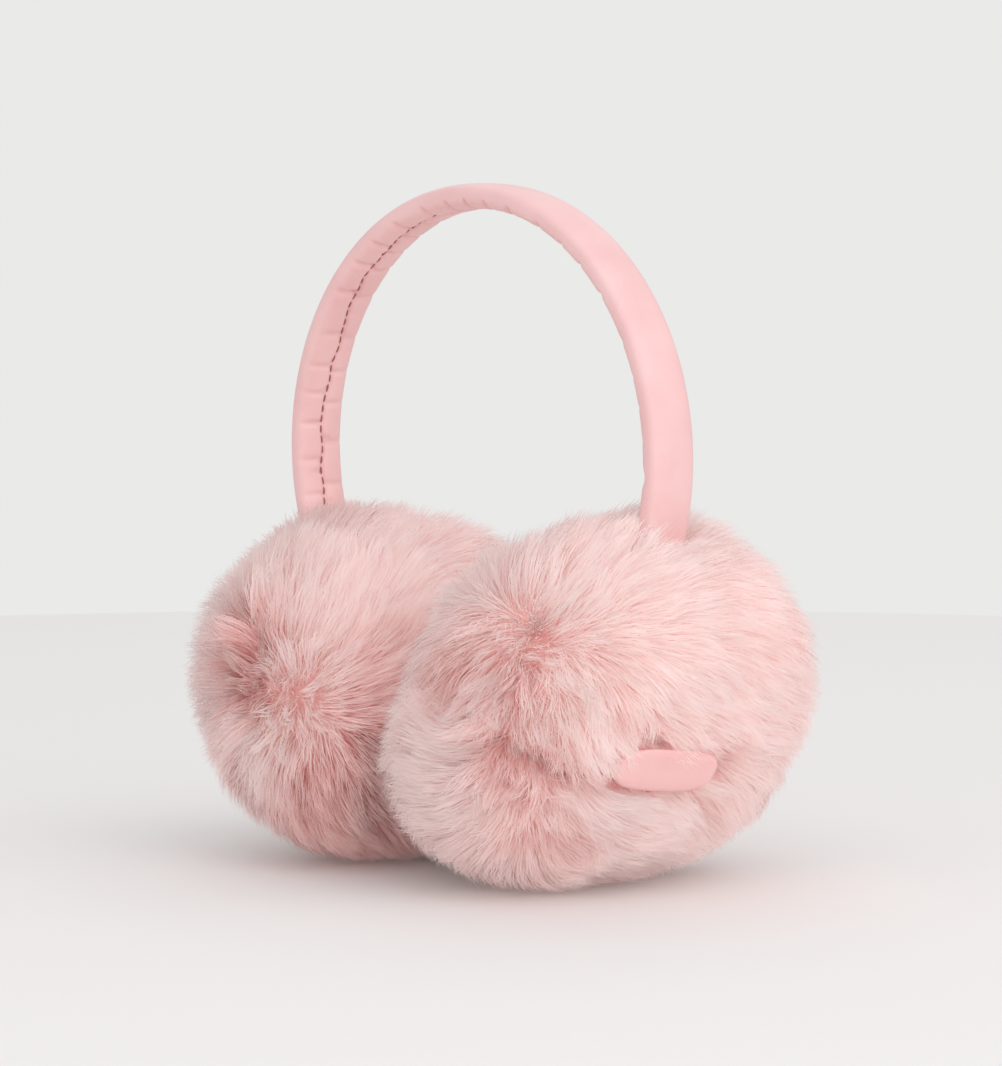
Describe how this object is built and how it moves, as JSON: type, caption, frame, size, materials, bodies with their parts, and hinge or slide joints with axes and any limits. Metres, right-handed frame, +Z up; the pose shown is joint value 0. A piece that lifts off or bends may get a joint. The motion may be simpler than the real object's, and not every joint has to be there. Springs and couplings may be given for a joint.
{
  "type": "fur earmuffs",
  "caption": "Earmuffs: a leather-covered padded headband with a deep-fur ear pad on each end and a blank leather patch on one pad, resting with the pads' lower rims together.",
  "frame": {"origin": "The middle of the footprint, on the surface the fur pads rest on", "axes": "+X towards the pad with the leather patch, across the head; +Y towards the back of the head; +Z up, to the top of the headband"},
  "size_m": [0.1925, 0.132, 0.2],
  "materials": {
    "band_leather": "smooth pale pink leather with a soft satin sheen, puckered along its inner side",
    "fur": "deep soft pale pink fur, rosier at its roots",
    "patch_leather": "smooth pink leather, blank"
  },
  "bodies": {
    "root": {"headband": "band_leather", "right_outer_fur": "fur", "right_inner_fur": "fur", "left_outer_fur": "fur", "left_inner_fur": "fur", "side_patch": "patch_leather"}
  },
  "joints": []
}
